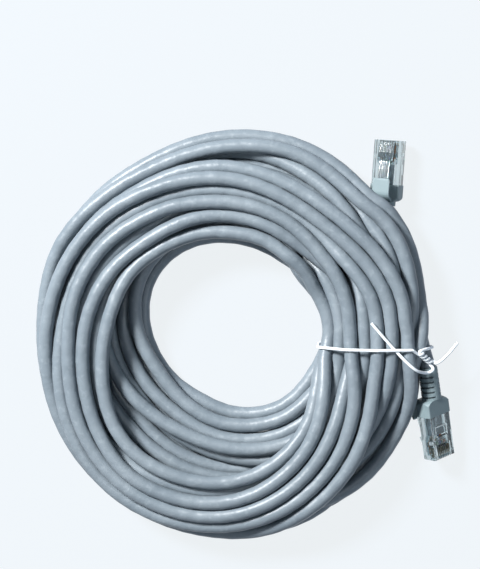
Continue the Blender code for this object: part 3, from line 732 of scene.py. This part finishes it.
def twist(share, phase):
    """One of the two ends where they wind round each other."""
    radius = tie_width / 2 + twist_reach
    start, end = (np.array((*p, lying(*p, radius) + 0.2)) for p in (twist_from, twist_to))
    along = (end - start) / np.linalg.norm(end - start)
    side = np.cross(along, (0, 0, 1.0))
    side /= np.linalg.norm(side)
    rise = np.cross(side, along)
    a = math.tau * twist_turns * share + phase
    return (start + share * (end - start)
            + twist_reach * (math.cos(a) * side + math.sin(a) * rise))


twist_shares = [i / twist_steps for i in range(twist_steps + 1)]
tie_points = [np.array((x, y, lying(x, y, tie_width / 2) + lift))
              for (x, y), lift in zip(long_end, long_end_lifts)]
tie_points += [twist(1 - share, twist_phase) for share in twist_shares]
tie_points += bundle_loop()
tie_points += [twist(share, twist_phase + math.pi) for share in twist_shares]
tie_points += [np.array(p) for p in short_end]
tie_line, _ = smooth_line(np.array(tie_points), 0.5)

tie_curve = bpy.data.curves.new("twist_tie_wire", "CURVE")
tie_curve.dimensions = "3D"
spline = tie_curve.splines.new("POLY")
spline.points.add(len(tie_line) - 1)
for point, place in zip(spline.points, tie_line):
    point.co = (*(place * mm), 1)
tie_curve.bevel_depth = tie_width / 2 * mm
tie_curve.bevel_resolution = 2
tie_curve.use_fill_caps = True
tie = bpy.data.objects.new("twist_tie_wire", tie_curve)
bpy.context.scene.collection.objects.link(tie)
tie.select_set(True)
bpy.context.view_layer.objects.active = tie
bpy.ops.object.convert(target="MESH")
bpy.ops.object.shade_smooth()
bpy.ops.object.select_all(action="DESELECT")

material, shader, start = new_finish("tie_plastic", (0.86, 0.90, 0.92), 0.35)
place = start.node("ShaderNodeTexCoord", output=3)
rub = start.node("ShaderNodeTexNoise", Vector=place, Scale=700.0, Detail=3.0)
colour = start.node("ShaderNodeMix", {"data_type": "RGBA"}, output=2, Factor=rub,
                    s6=(0.78, 0.83, 0.86, 1), s7=(0.90, 0.94, 0.96, 1))
feed(shader, "Base Color", colour)
feed(shader, "Roughness", 0.28 + rub * 0.2)
bump = start.node("ShaderNodeBump", Height=rub, Strength=0.2, Distance=0.0001)
feed(shader, "Normal", bump)
put_on(tie, material)
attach(tie, "cable")
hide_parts("twist_tie")


# ---------------------------------------------------------------- table and light
# A pale table top with a faint shadow. The light comes from a window at the upper left, a
# small ceiling lamp and a weak cool lamp at the right, in a dim bluish room.


def seen_rays(start):
    """1 where the camera sees a surface, directly, mirrored or through clear plastic."""
    path = start.node("ShaderNodeLightPath").socket.node.outputs
    camera_ray, glossy_ray, through_ray = (
        Value(start.tree, path[f"Is {kind} Ray"]) for kind in ("Camera", "Glossy",
                                                               "Transmission"))
    return camera_ray + glossy_ray + through_ray


glow_share = 0.88                        # of the table as seen; the rest takes the shadow
bpy.ops.mesh.primitive_plane_add(size=6.0, location=(0, 0, -0.0001))
table = bpy.context.active_object
table.name = "table"
table_material, table_shader, start = new_finish("table", (0.22, 0.28, 0.38), 0.9)
glow = start.node("ShaderNodeEmission", Color=(0.928, 0.966, 0.985, 1), Strength=1.01)
mixed = start.node("ShaderNodeMixShader", s0=seen_rays(start) * glow_share,
                   s1=Value(start.tree, table_shader.outputs[0]), s2=glow)
output = next(n for n in start.tree.nodes if n.type == "OUTPUT_MATERIAL")
start.tree.links.new(mixed.socket, output.inputs["Surface"])
put_on(table, table_material)
table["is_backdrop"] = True

world = bpy.data.worlds.new("room")
bpy.context.scene.world = world
world.use_nodes = True
room = world.node_tree.nodes["Background"]
room.inputs["Color"].default_value = (0.25, 0.56, 1.0, 1)
room.inputs["Strength"].default_value = 0.07
start = Value(world.node_tree, None)
wall = start.node("ShaderNodeBackground", Color=(0.896, 0.947, 0.991, 1), Strength=1.0)
mixed = start.node("ShaderNodeMixShader", s0=seen_rays(start),
                   s1=Value(start.tree, room.outputs[0]), s2=wall)
output = next(n for n in start.tree.nodes if n.type == "OUTPUT_WORLD")
start.tree.links.new(mixed.socket, output.inputs["Surface"])


def lamp(name, place, size, watts, colour=(1, 1, 1)):
    """A square lamp that faces the cable."""
    data = bpy.data.lights.new(name, "AREA")
    data.shape = "SQUARE"
    data.size = size
    data.energy = watts
    data.color = colour
    made = bpy.data.objects.new(name, data)
    bpy.context.scene.collection.objects.link(made)
    made.location = place
    made.rotation_mode = "QUATERNION"
    made.rotation_quaternion = (looks_at - made.location).to_track_quat("-Z", "Y")


lamp("window", Vector((-0.64, 0.62, 0.85)), 0.26, 38.0)
lamp("ceiling", Vector((0.05, 0.0, 1.3)), 0.05, 1.2)
lamp("bounce", Vector((0.95, -0.45, 0.75)), 0.5, 3.2, (0.85, 0.93, 1.0))


# ---------------------------------------------------------------- sizes and end
# The box of what is shown, without the table.

low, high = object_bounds()
